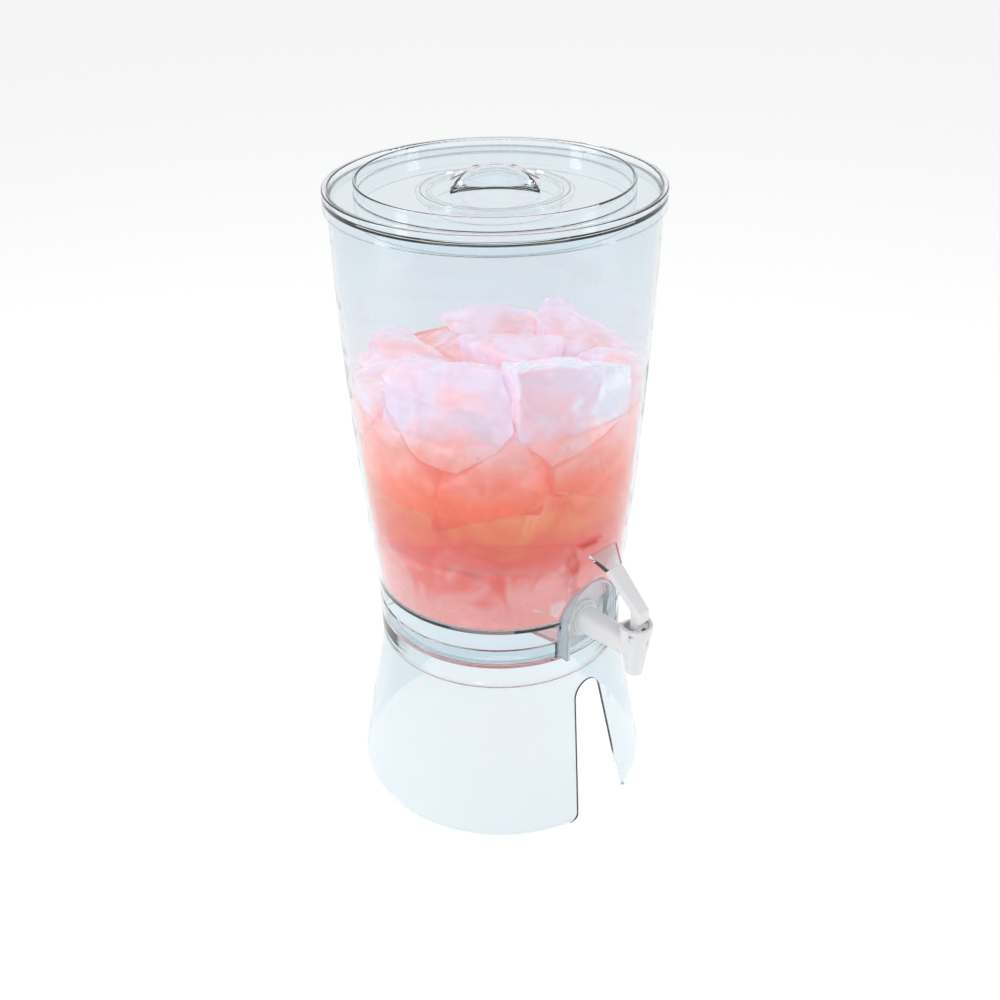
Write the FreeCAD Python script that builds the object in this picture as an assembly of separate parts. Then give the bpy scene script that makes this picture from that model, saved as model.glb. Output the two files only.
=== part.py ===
"""Countertop beverage dispenser: a clear tank on a clear stand, with a lid, a refill cap and a lever tap.

Units are millimetres. +Z is up, the tap points to -Y, and the origin is the centre of the stand's
foot circle on the table. "Out" means the distance from the dispenser's axis towards the tap.
"""
import FreeCAD, Part
import math
import os

# ---------------------------------------------------------------- driving dimensions
# stand
FOOT_RADIUS = 126.0          # outside of the stand where it meets the table
FOOT_LAND = 3.0              # height of the straight band at the foot
NECK_STEP = 2.2              # cone's top inside the collar's outer face
STAND_NECK_HEIGHT = 140.3
STAND_WALL = 2.5
COLLAR_HEIGHT = 36.7         # collar from the neck to its top edge
COLLAR_WALL = 2.4
SHELF_DEPTH = 15.4           # tank shelf below the collar's top edge
SHELF_WIDTH = 8.4
SHELF_THICKNESS = 3.0
SHELF_GUSSET = 1.2           # extra thickness where the shelf meets the collar
ARCH_FOOT_HALF_WIDTH = 27.8  # doorway in the stand, at the table
ARCH_HEIGHT = 125.5
ARCH_LEAN = 6.7              # lean of the doorway's sides, degrees
ARCH_CORNER_RADIUS = 8.0

# tank
TANK_WALL = 3.0
TANK_RIM_RADIUS = 121.7
SHOULDER_STEP = 2.3          # tank's shoulder outside its foot ring
TANK_SIDE_BULGE = 3.2        # how far the side bows out from a straight cone
TANK_HEIGHT = 353.0          # from the foot ring's bottom edge to the rim
TANK_STRAIGHT = 26.0         # straight band below the rim
FOOT_RING_RADIUS = 100.1
FLOOR_RISE = 33.0            # tank floor above the foot ring's bottom edge
FLOOR_FILLET = 5.0
WELL_RADIUS = 43.0           # shallow round well in the floor
WELL_DEPTH = 6.0
CHANNEL_HALF_WIDTH = 23.0    # shallow channel across the floor, through the well
SUMP_HALF_WIDTH = 18.0       # deep sump that feeds the tap
SUMP_LENGTH = 48.0
SUMP_CLEARANCE = 1.7         # sump floor below the tap nut

# tap pocket in the tank
TAP_HEIGHT = 186.0           # barrel axis above the table
PAD_SETBACK = 4.1            # flat pad that the tap clamps on, inside the foot ring's outer face
POCKET_RADIUS = 25.5
POCKET_CROWN_RISE = 10.5     # pocket's crown centre above the barrel axis
SHROUD_DEPTH = 11.0          # wall around the pocket, in front of the pad

# lid
LID_PLATE = 2.8
LID_BAND_DEPTH = 6.5         # band below the plate's underside, outside the tank rim
LID_BAND_WALL = 2.9
LID_BEAD_HEIGHT = 5.2        # rounded bead above the plate
LID_BEAD_WIDTH = 4.6
LID_EDGE_ROUND = 1.0
LID_GUTTER = 19.4            # from the tank's rim in to the lid's ring, which also goes down into the tank
LID_RING_WALL = 2.4
LID_RING_RISE = 9.8
LID_PLUG_DEPTH = 15.5        # ring below the plate's top

# refill cap
CAP_RADIUS = 54.4
CAP_PLATE = 2.6
CAP_LEDGE = 4.5              # how far the cap's edge rests on the lid's ledge
CAP_LEDGE_THICKNESS = 3.2
CAP_SKIRT_DEPTH = 14.3
CAP_SKIRT_WALL = 2.2
GRIP_LENGTH = 64.0
GRIP_HEIGHT = 17.5
GRIP_END_WIDTH = 30.0
GRIP_END_HEIGHT = 5.0
GRIP_WAIST = 8.0
GRIP_ROUND = 1.8
GRIP_TURN = -43.5            # degrees about +Z, as the cap was set down

# tap body
BARREL_ROOT_RADIUS = 11.4
BARREL_TIP_RADIUS = 9.8
FLANGE_RADIUS = 13.0
FLANGE_THICKNESS = 2.2
SPOUT_REACH = 51.675         # spout axis in front of the pad, on a tank with straight sides
PADDLE_STATION = 0.25        # how far up the tank's side the lever's paddle stands
SPOUT_DROP = 23.0            # spout mouth below the barrel axis
SPOUT_MOUTH_RADIUS = 7.0
CUP_RADIUS = 12.8            # lever cup at the top of the tap
CUP_WALL = 2.4
CUP_RISE = 22.0              # cup rim above the barrel axis
CUP_TAPER_END = 17.0         # where the taper from the spout ends, above the barrel axis
CUP_BACK_NOTCH = 4.0         # notch in the back of the cup's rim, where the lever arm leans over
CUP_BACK_NOTCH_WIDTH = 12.9
BORE_RADIUS = 5.5
OUTLET_RADIUS = 4.6
CHAMBER_RADIUS = 7.0
SEAT_DROP = 8.0              # valve seat below the barrel axis
BONNET_RISE = 7.0            # bonnet's underside above the barrel axis
BONNET_RADIUS = 8.6
BONNET_THICKNESS = 4.6
CUP_FLOOR_RISE = 12.0        # floor of the lever cup, above the barrel axis
SNAP_WIDTH = 2.1             # tab on the bonnet
SNAP_REACH = 2.4
LUG_WIDTH = 7.0              # ears outside the cup
LUG_PROUD = 0.6
PIN_BOSS_RADIUS = 3.15       # bosses inside the cup that carry the lever pin

# tap fixings
SHANK_RADIUS = 7.8
SHANK_LENGTH = 18.0          # from the flange's back face
THREAD_PITCH = 2.0
THREAD_DEPTH = 0.5
OUTER_WASHER_RADIUS = 16.0
OUTER_WASHER_THICKNESS = 2.3
INNER_WASHER_RADIUS = 13.5
INNER_WASHER_THICKNESS = 2.0
NUT_ACROSS_FLATS = 22.0
NUT_LENGTH = 8.0
NUT_FLANGE_RADIUS = 13.8
NUT_FLANGE_THICKNESS = 2.4

# lever and valve
LEVER_SWING = 40.0           # degrees, forwards
LINK_ARM = 5.2               # from the lever pin to the link pin
PIN_RISE = 17.5              # lever pin above the barrel axis
PIN_RADIUS = 1.5
LINK_PIN_RADIUS = 1.0
HEEL_RADIUS = 4.0
HEEL_WIDTH = 9.2             # the lever's forked foot, inside the cup
NECK_FRONT_INSET = 0.4       # lever's neck behind the lever pin's axis
NECK_HEIGHT = 7.6            # neck's straight front, above the lever pin
FORK_HEIGHT = 3.6            # fork's slot, above the lever pin
LINK_EYE_RADIUS = 2.6
ARM_OVERHANG = 7.5           # upper front edge of the lever arm, in front of the spout axis
ARM_TOP_RISE = 37.0
ARM_FRONT_HEIGHT = 9.8
ARM_FRONT_WIDTH = 10.4
ARM_SEAM_WIDTH = 15.0
ARM_SEAM_THICKNESS = 4.8
ARM_EDGE_ROUND = 0.6
ARM_LENGTH = 41.0
ARM_LEAN = 41.2              # degrees above horizontal, towards the tank
PADDLE_LENGTH = 17.1
PADDLE_TIP_WIDTH = 30.0
PADDLE_TIP_THICKNESS = 3.4
PADDLE_CORNER_RADIUS = 1.2
TONGUE_LENGTH = 7.0
TONGUE_WIDTH = 7.6
TONGUE_THICKNESS = 2.0
STEM_RADIUS = 2.0
STEM_TAB_THICKNESS = 3.0
STEM_TAB_HALF_WIDTH = 2.6
STEM_COLLAR_RADIUS = 4.4
STEM_COLLAR_THICKNESS = 1.2
PLUG_RADIUS = 6.0
PLUG_HEIGHT = 5.6
PLUG_NOSE_DEPTH = 1.6
PLUG_NOSE_TAPER = 1.3        # how much narrower the nose's tip is, in radius
PLUG_SOCKET_FLOOR = 1.4      # rubber below the stem's end
SEAL_RADIUS = 3.9
SEAL_THICKNESS = 1.8
SPRING_COIL_RADIUS = 3.4
SPRING_WIRE_RADIUS = 0.4
SPRING_TURNS = 3.5
SPRING_POINTS_PER_TURN = 12

# clearances
REST_GAP = 0.2               # faces that rest on each other across a joint
LIFT_CLEARANCE = 0.4         # radial, for pieces that lift off
NOTCH_CLEARANCE = 2.8
SHANK_CLEARANCE = 0.3
RUNNING_CLEARANCE = 0.05     # radial, pin in the lever and stem in its seal
LINK_CLEARANCE = 0.09        # radial, link pin in the stem's slot
STEM_HOLE_CLEARANCE = 0.08
FORK_CLEARANCE = 0.3
HEEL_CLEARANCE = 0.3         # radial, the lever's heel inside the cup
NOSE_CLEARANCE = 0.4
SNAP_CLEARANCE = 0.1

# ---------------------------------------------------------------- derived levels
COLLAR_TOP = STAND_NECK_HEIGHT + COLLAR_HEIGHT
SHELF_TOP = COLLAR_TOP - SHELF_DEPTH
SHELF_BOTTOM = SHELF_TOP - SHELF_THICKNESS
COLLAR_BORE = FOOT_RING_RADIUS + LIFT_CLEARANCE
COLLAR_RADIUS = COLLAR_BORE + COLLAR_WALL
STAND_NECK_RADIUS = COLLAR_RADIUS - NECK_STEP

TANK_BOTTOM = SHELF_TOP + REST_GAP
TANK_SHOULDER_RADIUS = FOOT_RING_RADIUS + SHOULDER_STEP
TANK_RIM = TANK_BOTTOM + TANK_HEIGHT
SHOULDER = COLLAR_TOP + LIFT_CLEARANCE
BOW_TOP = TANK_RIM - TANK_STRAIGHT
FLOOR = TANK_BOTTOM + FLOOR_RISE
WELL_FLOOR = FLOOR - WELL_DEPTH
SUMP_FLOOR = TAP_HEIGHT - NUT_FLANGE_RADIUS - SUMP_CLEARANCE
PAD_OUT = FOOT_RING_RADIUS - PAD_SETBACK
PAD_BACK = PAD_OUT - TANK_WALL
SHROUD_OUT = PAD_OUT + SHROUD_DEPTH
CROWN_HEIGHT = TAP_HEIGHT + POCKET_CROWN_RISE
SHROUD_RADIUS = POCKET_RADIUS + TANK_WALL

PLATE_BOTTOM = TANK_RIM + REST_GAP
PLATE_TOP = PLATE_BOTTOM + LID_PLATE
BAND_BORE = TANK_RIM_RADIUS + LIFT_CLEARANCE
BAND_RADIUS = BAND_BORE + LID_BAND_WALL
LID_RING_RADIUS = TANK_RIM_RADIUS - LID_GUTTER
CAP_BOTTOM = PLATE_TOP - CAP_PLATE
LEDGE_TOP = CAP_BOTTOM - REST_GAP
LEDGE_BOTTOM = LEDGE_TOP - CAP_LEDGE_THICKNESS
CAP_RECESS_RADIUS = CAP_RADIUS + LIFT_CLEARANCE
FILL_HOLE_RADIUS = CAP_RADIUS - CAP_LEDGE
CAP_SKIRT_RADIUS = FILL_HOLE_RADIUS - LIFT_CLEARANCE

SPOUT_OUT = PAD_OUT + SPOUT_REACH + PADDLE_STATION * (TANK_RIM_RADIUS - TANK_SHOULDER_RADIUS)
FLANGE_BACK = PAD_OUT + OUTER_WASHER_THICKNESS
FLANGE_FRONT = FLANGE_BACK + FLANGE_THICKNESS
SHANK_END = FLANGE_BACK - SHANK_LENGTH
NUT_FRONT = PAD_BACK - INNER_WASHER_THICKNESS
SPOUT_MOUTH = TAP_HEIGHT - SPOUT_DROP
SEAT = TAP_HEIGHT - SEAT_DROP
BONNET_BOTTOM = TAP_HEIGHT + BONNET_RISE
BONNET_TOP = BONNET_BOTTOM + BONNET_THICKNESS
CUP_FLOOR = TAP_HEIGHT + CUP_FLOOR_RISE
CUP_RIM = TAP_HEIGHT + CUP_RISE
CUP_BORE = CUP_RADIUS - CUP_WALL

HALF_SWING = math.radians(LEVER_SWING / 2)
PIN_OUT = SPOUT_OUT + LINK_ARM * math.cos(HALF_SWING)
PIN_HEIGHT = TAP_HEIGHT + PIN_RISE
LINK_HEIGHT = PIN_HEIGHT - LINK_ARM * math.sin(HALF_SWING)
LINK_DRIFT = LINK_ARM * (1 - math.cos(HALF_SWING))   # how far the link pin moves sideways
STEM_LIFT = 2 * LINK_ARM * math.sin(HALF_SWING)
LUG_OUT = CUP_RADIUS + LUG_PROUD
HEEL_HALF_WIDTH = HEEL_WIDTH / 2
PIN_HALF_LENGTH = math.sqrt(CUP_RADIUS ** 2 - (PIN_OUT - SPOUT_OUT) ** 2) - SNAP_CLEARANCE
FORK_HALF_GAP = STEM_RADIUS + FORK_CLEARANCE

PLUG_BOTTOM = SEAT + REST_GAP
PLUG_TOP = PLUG_BOTTOM + PLUG_HEIGHT
STEM_BOTTOM = PLUG_BOTTOM + PLUG_SOCKET_FLOOR
SPRING_FOOT = PLUG_TOP + STEM_COLLAR_THICKNESS

EPS = 0.5                    # how far a cutting tool runs past the face it opens


# ---------------------------------------------------------------- helpers
def point(x, out, z):
    return FreeCAD.Vector(x, -out, z)


def turned(outline):
    """Solid turned about the dispenser's axis from corners (radius, height)."""
    corners = [FreeCAD.Vector(r, 0, z) for r, z in outline]
    face = Part.Face(Part.makePolygon(corners + corners[:1]))
    return face.revolve(FreeCAD.Vector(0, 0, 0), FreeCAD.Vector(0, 0, 1), 360)


def turned_edges(edges):
    """Solid turned about the dispenser's axis from a closed run of edges in the XZ plane."""
    face = Part.Face(Part.Wire(Part.__sortEdges__(edges)))
    return face.revolve(FreeCAD.Vector(0, 0, 0), FreeCAD.Vector(0, 0, 1), 360)


def ring(outer, inner, bottom, top, x=0.0, out=0.0):
    """Upright tube, or a plain cylinder where inner is 0."""
    body = Part.makeCylinder(outer, top - bottom, point(x, out, bottom))
    if inner:
        body = body.cut(Part.makeCylinder(inner, top - bottom + 2 * EPS, point(x, out, bottom - EPS)))
    return body


def rod_out(radius, start, end, height):
    """Cylinder along the tap's direction, from out = start to out = end."""
    return Part.makeCylinder(radius, end - start, point(0, start, height), FreeCAD.Vector(0, -1, 0))


def rod_across(radius, half_length, out, height):
    """Cylinder along X, centred on the tap's mid-plane."""
    left_end = point(-half_length, out, height)
    return Part.makeCylinder(radius, 2 * half_length, left_end, FreeCAD.Vector(1, 0, 0))


def block(half_width, near, far, bottom, top):
    """Box centred on the tap's mid-plane, from out = near to out = far."""
    return Part.makeBox(2 * half_width, far - near, top - bottom, point(-half_width, far, bottom))


def slab(corners, half_width):
    """Prism across the tap's mid-plane from corners (out, height)."""
    side = [point(-half_width, out, z) for out, z in corners]
    return Part.Face(Part.makePolygon(side + side[:1])).extrude(FreeCAD.Vector(2 * half_width, 0, 0))


def arch_prism(radius, crown, bottom, near, far):
    """Round-topped prism along the tap's direction."""
    left, right = point(-radius, far, bottom), point(radius, far, bottom)
    left_spring, right_spring = point(-radius, far, crown), point(radius, far, crown)
    edges = [
        Part.makeLine(left, right),
        Part.makeLine(right, right_spring),
        Part.Arc(right_spring, point(0, far, crown + radius), left_spring).toShape(),
        Part.makeLine(left_spring, left),
    ]
    return Part.Face(Part.Wire(edges)).extrude(FreeCAD.Vector(0, far - near, 0))


def save(name, shape):
    shape = shape.removeSplitter()
    if not shape.isValid():
        raise RuntimeError(name + " is not a valid solid")
    shape.exportStep("parts/" + name + ".step")
    box = shape.BoundBox
    print(f"{name:14s} solids {len(shape.Solids)}  volume {shape.Volume / 1000:8.2f} cm3"
          f"  x {box.XMin:7.2f}..{box.XMax:7.2f}  y {box.YMin:7.2f}..{box.YMax:7.2f}"
          f"  z {box.ZMin:7.2f}..{box.ZMax:7.2f}")


# ---------------------------------------------------------------- stand
def doorway():
    """Tapered, round-topped opening in the stand with flared lower corners."""
    lean = math.radians(ARCH_LEAN)
    sin, cos = math.sin(lean), math.cos(lean)
    crown = (ARCH_HEIGHT - ARCH_FOOT_HALF_WIDTH * cos) / (1 - sin)
    radius = ARCH_HEIGHT - crown
    side_top = (radius * cos, crown + radius * sin)
    corner_x = ARCH_FOOT_HALF_WIDTH + ARCH_CORNER_RADIUS * (1 - sin) / cos
    side_foot = (corner_x - ARCH_CORNER_RADIUS * cos, ARCH_CORNER_RADIUS * (1 - sin))
    bend = math.radians(45) + lean / 2
    middle = (corner_x - ARCH_CORNER_RADIUS * math.sin(bend), ARCH_CORNER_RADIUS * (1 - math.cos(bend)))
    below = -EPS

    def at(pair, sign=1):
        return point(sign * pair[0], 0, pair[1])

    edges = [Part.makeLine(at((corner_x, below), -1), at((corner_x, below)))]
    for sign in (1, -1):
        edges += [
            Part.makeLine(at((corner_x, below), sign), at((corner_x, 0), sign)),
            Part.Arc(at((corner_x, 0), sign), at(middle, sign), at(side_foot, sign)).toShape(),
            Part.makeLine(at(side_foot, sign), at(side_top, sign)),
        ]
    edges.append(Part.Arc(at(side_top), at((0, ARCH_HEIGHT)), at(side_top, -1)).toShape())
    face = Part.Face(Part.Wire(Part.__sortEdges__(edges)))
    return face.extrude(FreeCAD.Vector(0, -FOOT_RADIUS - EPS, 0))


def stand():
    shelf_bore = COLLAR_BORE - SHELF_WIDTH
    below_shelf = COLLAR_BORE - SHELF_GUSSET
    body = turned([
        (FOOT_RADIUS, 0), (FOOT_RADIUS, FOOT_LAND), (STAND_NECK_RADIUS, STAND_NECK_HEIGHT),
        (COLLAR_RADIUS, STAND_NECK_HEIGHT), (COLLAR_RADIUS, COLLAR_TOP), (COLLAR_BORE, COLLAR_TOP),
        (COLLAR_BORE, SHELF_TOP), (shelf_bore, SHELF_TOP), (shelf_bore, SHELF_BOTTOM),
        (below_shelf, SHELF_BOTTOM), (STAND_NECK_RADIUS - STAND_WALL, STAND_NECK_HEIGHT),
        (FOOT_RADIUS - STAND_WALL, FOOT_LAND), (FOOT_RADIUS - STAND_WALL, 0),
    ])
    notch = block(SHROUD_RADIUS + NOTCH_CLEARANCE, COLLAR_BORE - SHELF_WIDTH, COLLAR_RADIUS + EPS,
                  SHELF_TOP, COLLAR_TOP + EPS)
    return body.cut([doorway(), notch])


# ---------------------------------------------------------------- tank
def side_arc(inset, bottom):
    """Bowed side of the tank, moved inwards by inset, from the height bottom to the straight band."""
    chord = TANK_RIM_RADIUS - TANK_SHOULDER_RADIUS
    span = BOW_TOP - SHOULDER

    def radius_at(z):
        share = (z - SHOULDER) / span
        return TANK_SHOULDER_RADIUS + chord * share + TANK_SIDE_BULGE * 4 * share * (1 - share) - inset

    middle = (bottom + BOW_TOP) / 2
    low = FreeCAD.Vector(radius_at(bottom), 0, bottom)
    return low, Part.Arc(low, FreeCAD.Vector(radius_at(middle), 0, middle),
                         FreeCAD.Vector(TANK_RIM_RADIUS - inset, 0, BOW_TOP)).toShape()


def tank_shell():
    outer_low, outer_side = side_arc(0, SHOULDER)
    inner_low, inner_side = side_arc(TANK_WALL, FLOOR + FLOOR_FILLET)
    ring_bore = FOOT_RING_RADIUS - TANK_WALL
    floor_edge = FreeCAD.Vector(inner_low.x - FLOOR_FILLET, 0, FLOOR)
    bend = FLOOR_FILLET * (1 - math.sqrt(0.5))
    corner = FreeCAD.Vector(inner_low.x - bend, 0, FLOOR + bend)
    straight = [
        [FreeCAD.Vector(TANK_RIM_RADIUS, 0, BOW_TOP), FreeCAD.Vector(TANK_RIM_RADIUS, 0, TANK_RIM),
         FreeCAD.Vector(TANK_RIM_RADIUS - TANK_WALL, 0, TANK_RIM),
         FreeCAD.Vector(TANK_RIM_RADIUS - TANK_WALL, 0, BOW_TOP)],
        [floor_edge, FreeCAD.Vector(0, 0, FLOOR), FreeCAD.Vector(0, 0, FLOOR - TANK_WALL),
         FreeCAD.Vector(ring_bore, 0, FLOOR - TANK_WALL), FreeCAD.Vector(ring_bore, 0, TANK_BOTTOM),
         FreeCAD.Vector(FOOT_RING_RADIUS, 0, TANK_BOTTOM), FreeCAD.Vector(FOOT_RING_RADIUS, 0, SHOULDER),
         outer_low],
    ]
    edges = [outer_side, inner_side, Part.Arc(inner_low, corner, floor_edge).toShape()]
    for run in straight:
        edges += [Part.makeLine(a, b) for a, b in zip(run, run[1:])]
    return turned_edges(edges)


def inside_of_tank(inset, bottom, top):
    """Plug that fills the tank's inside, less inset, between two heights."""
    radius = TANK_SHOULDER_RADIUS - TANK_WALL - FLOOR_FILLET - inset
    return ring(radius, 0, bottom, top)


def floor_basin(grow, well_bottom, sump_bottom, top):
    """Well, cross channel and sump as one block. grow thickens it into the walls around them."""
    well = ring(WELL_RADIUS + grow, 0, well_bottom, top)
    channel = block(CHANNEL_HALF_WIDTH + grow, -TANK_RIM_RADIUS, PAD_BACK + grow, well_bottom, top)
    channel = channel.common(inside_of_tank(0, well_bottom, top).fuse(
        block(CHANNEL_HALF_WIDTH + grow, 0, PAD_BACK + grow, well_bottom, top)))
    sump_start = PAD_BACK - SUMP_LENGTH
    sump_half = SUMP_HALF_WIDTH + grow
    sump = block(sump_half, sump_start, PAD_BACK + grow, sump_bottom, top)
    sump_back = ring(sump_half, 0, sump_bottom, top, out=sump_start)
    return well.fuse([channel, sump, sump_back])


def tank():
    outer_basin = floor_basin(TANK_WALL, WELL_FLOOR - TANK_WALL, SUMP_FLOOR - TANK_WALL,
                              FLOOR - TANK_WALL / 2)
    inner_basin = floor_basin(0, WELL_FLOOR, SUMP_FLOOR, FLOOR + EPS)
    shroud = arch_prism(SHROUD_RADIUS, CROWN_HEIGHT, TANK_BOTTOM, PAD_BACK, SHROUD_OUT)
    pocket = arch_prism(POCKET_RADIUS, CROWN_HEIGHT, TANK_BOTTOM - EPS, PAD_OUT, SHROUD_OUT + EPS)
    hole = rod_out(SHANK_RADIUS + SHANK_CLEARANCE, PAD_BACK - EPS, PAD_OUT + EPS, TAP_HEIGHT)
    body = tank_shell().fuse([outer_basin, shroud])
    return body.cut([inner_basin, pocket, hole])


# ---------------------------------------------------------------- lid and refill cap
def lid():
    bead_inner = BAND_RADIUS - LID_BEAD_WIDTH
    bead_top = PLATE_TOP + LID_BEAD_HEIGHT
    ring_bore = LID_RING_RADIUS - LID_RING_WALL
    ring_top = PLATE_TOP + LID_RING_RISE
    body = turned([
        (BAND_RADIUS, PLATE_BOTTOM - LID_BAND_DEPTH), (BAND_RADIUS, bead_top), (bead_inner, bead_top),
        (bead_inner, PLATE_TOP), (LID_RING_RADIUS, PLATE_TOP), (LID_RING_RADIUS, ring_top),
        (ring_bore, ring_top), (ring_bore, PLATE_TOP), (CAP_RECESS_RADIUS, PLATE_TOP),
        (CAP_RECESS_RADIUS, LEDGE_TOP), (FILL_HOLE_RADIUS, LEDGE_TOP), (FILL_HOLE_RADIUS, LEDGE_BOTTOM),
        (CAP_RECESS_RADIUS + LID_PLATE, LEDGE_BOTTOM), (CAP_RECESS_RADIUS + LID_PLATE, PLATE_BOTTOM),
        (ring_bore, PLATE_BOTTOM), (ring_bore, PLATE_TOP - LID_PLUG_DEPTH),
        (LID_RING_RADIUS, PLATE_TOP - LID_PLUG_DEPTH), (LID_RING_RADIUS, PLATE_BOTTOM),
        (BAND_BORE, PLATE_BOTTOM), (BAND_BORE, PLATE_BOTTOM - LID_BAND_DEPTH),
    ])
    tops = [e for e in body.Edges if e.BoundBox.ZLength < 1e-6 and
            (abs(e.BoundBox.ZMax - ring_top) < 1e-6 or abs(e.BoundBox.ZMax - bead_top) < 1e-6)]
    return body.makeFillet(LID_EDGE_ROUND, tops)


def grip():
    """Arched pinch grip: flared at both ends, waisted in the middle."""
    half, end, waist = GRIP_LENGTH / 2, GRIP_END_WIDTH / 2, GRIP_WAIST / 2
    base = CAP_BOTTOM + CAP_PLATE / 2
    plan = []
    for sign in (1, -1):
        start = FreeCAD.Vector(-sign * half, -sign * end, base)
        stop = FreeCAD.Vector(sign * half, -sign * end, base)
        plan.append(Part.Arc(start, FreeCAD.Vector(0, -sign * waist, base), stop).toShape())
        plan.append(Part.makeLine(stop, FreeCAD.Vector(sign * half, sign * end, base)))
    waisted = Part.Face(Part.Wire(Part.__sortEdges__(plan))).extrude(FreeCAD.Vector(0, 0, GRIP_HEIGHT * 2))
    shoulder = PLATE_TOP + GRIP_END_HEIGHT
    side = [FreeCAD.Vector(x, -half, z)
            for x, z in ((-half, shoulder), (-half, base), (half, base), (half, shoulder))]
    top = Part.Arc(side[-1], FreeCAD.Vector(0, -half, PLATE_TOP + GRIP_HEIGHT), side[0]).toShape()
    arch = Part.Face(Part.Wire([Part.makeLine(a, b) for a, b in zip(side, side[1:])] + [top]))
    fin = waisted.common(arch.extrude(FreeCAD.Vector(0, 2 * half, 0)))
    crest = [e for e in fin.Edges if e.BoundBox.ZMax > base + GRIP_HEIGHT / 2]
    return fin.makeFillet(GRIP_ROUND, crest)


def refill_cap():
    plate = ring(CAP_RADIUS, 0, CAP_BOTTOM, PLATE_TOP)
    skirt = ring(CAP_SKIRT_RADIUS, CAP_SKIRT_RADIUS - CAP_SKIRT_WALL, PLATE_TOP - CAP_SKIRT_DEPTH,
                 CAP_BOTTOM + CAP_PLATE / 2)
    body = plate.fuse([skirt, grip()])
    body.rotate(FreeCAD.Vector(0, 0, 0), FreeCAD.Vector(0, 0, 1), GRIP_TURN)
    return body


# ---------------------------------------------------------------- tap
def about_spout(outline):
    """Solid turned about the spout's axis from corners (radius, height)."""
    body = turned(outline)
    body.translate(point(0, SPOUT_OUT, 0))
    return body


def snap_block(grow, reach):
    """Tab that keeps the bonnet in, or the window for it where grow is the clearance round it."""
    return block(SNAP_WIDTH / 2 + grow, SPOUT_OUT + BONNET_RADIUS - EPS, SPOUT_OUT + reach,
                 BONNET_BOTTOM + SNAP_CLEARANCE - grow, BONNET_TOP - SNAP_CLEARANCE + grow)


def tap_body():
    barrel = Part.makeCone(BARREL_ROOT_RADIUS, BARREL_TIP_RADIUS, SPOUT_OUT - FLANGE_BACK,
                           point(0, FLANGE_BACK, TAP_HEIGHT), FreeCAD.Vector(0, -1, 0))
    flange = rod_out(FLANGE_RADIUS, FLANGE_BACK, FLANGE_FRONT, TAP_HEIGHT)
    shank = rod_out(SHANK_RADIUS, SHANK_END, FLANGE_FRONT, TAP_HEIGHT)
    spout = about_spout([
        (0, SPOUT_MOUTH), (SPOUT_MOUTH_RADIUS, SPOUT_MOUTH), (CUP_RADIUS, TAP_HEIGHT + CUP_TAPER_END),
        (CUP_RADIUS, CUP_RIM), (0, CUP_RIM),
    ])
    lugs = block(LUG_OUT, SPOUT_OUT - LUG_WIDTH / 2, SPOUT_OUT + LUG_WIDTH / 2, CUP_FLOOR, CUP_RIM)
    valve_space = about_spout([
        (0, SPOUT_MOUTH - EPS), (OUTLET_RADIUS, SPOUT_MOUTH - EPS), (OUTLET_RADIUS, SEAT),
        (CHAMBER_RADIUS, SEAT), (CHAMBER_RADIUS, BONNET_BOTTOM), (BONNET_RADIUS, BONNET_BOTTOM),
        (BONNET_RADIUS, CUP_FLOOR), (CUP_BORE, CUP_FLOOR), (CUP_BORE, CUP_RIM + EPS), (0, CUP_RIM + EPS),
    ])
    bore = rod_out(BORE_RADIUS, SHANK_END - EPS, SPOUT_OUT, TAP_HEIGHT)
    back_notch = block(CUP_BACK_NOTCH_WIDTH / 2, SPOUT_OUT - CUP_RADIUS - EPS, SPOUT_OUT,
                       CUP_RIM - CUP_BACK_NOTCH, CUP_RIM + EPS)
    snap_window = snap_block(SNAP_CLEARANCE, CUP_RADIUS + EPS)
    body = barrel.fuse([flange, shank, spout, lugs]).cut([valve_space, bore, back_notch, snap_window])

    boss_reach = HEEL_HALF_WIDTH + FORK_CLEARANCE
    bosses = rod_across(PIN_BOSS_RADIUS, CUP_RADIUS, PIN_OUT, PIN_HEIGHT)
    bosses = bosses.common(ring(CUP_RADIUS - CUP_WALL / 2, 0, CUP_FLOOR, CUP_RIM, out=SPOUT_OUT))
    bosses = bosses.cut(block(boss_reach, PIN_OUT - CUP_RADIUS, PIN_OUT + CUP_RADIUS, CUP_FLOOR - EPS,
                              CUP_RIM + EPS))
    body = body.fuse(bosses).cut(rod_across(PIN_RADIUS, LUG_OUT + EPS, PIN_OUT, PIN_HEIGHT))

    first = SHANK_END + THREAD_PITCH / 2
    count = int((PAD_BACK - first) / THREAD_PITCH)
    grooves = []
    for turn in range(count):
        start = first + turn * THREAD_PITCH
        root = rod_out(SHANK_RADIUS - THREAD_DEPTH, start, start + THREAD_PITCH, TAP_HEIGHT)
        grooves.append(rod_out(SHANK_RADIUS + EPS, start, start + THREAD_PITCH / 2, TAP_HEIGHT).cut(root))
    return body.cut(grooves)


def clamped_disc(radius, start, end):
    """Washer on the shank."""
    return rod_out(radius, start, end, TAP_HEIGHT).cut(
        rod_out(SHANK_RADIUS, start - EPS, end + EPS, TAP_HEIGHT))


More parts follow.
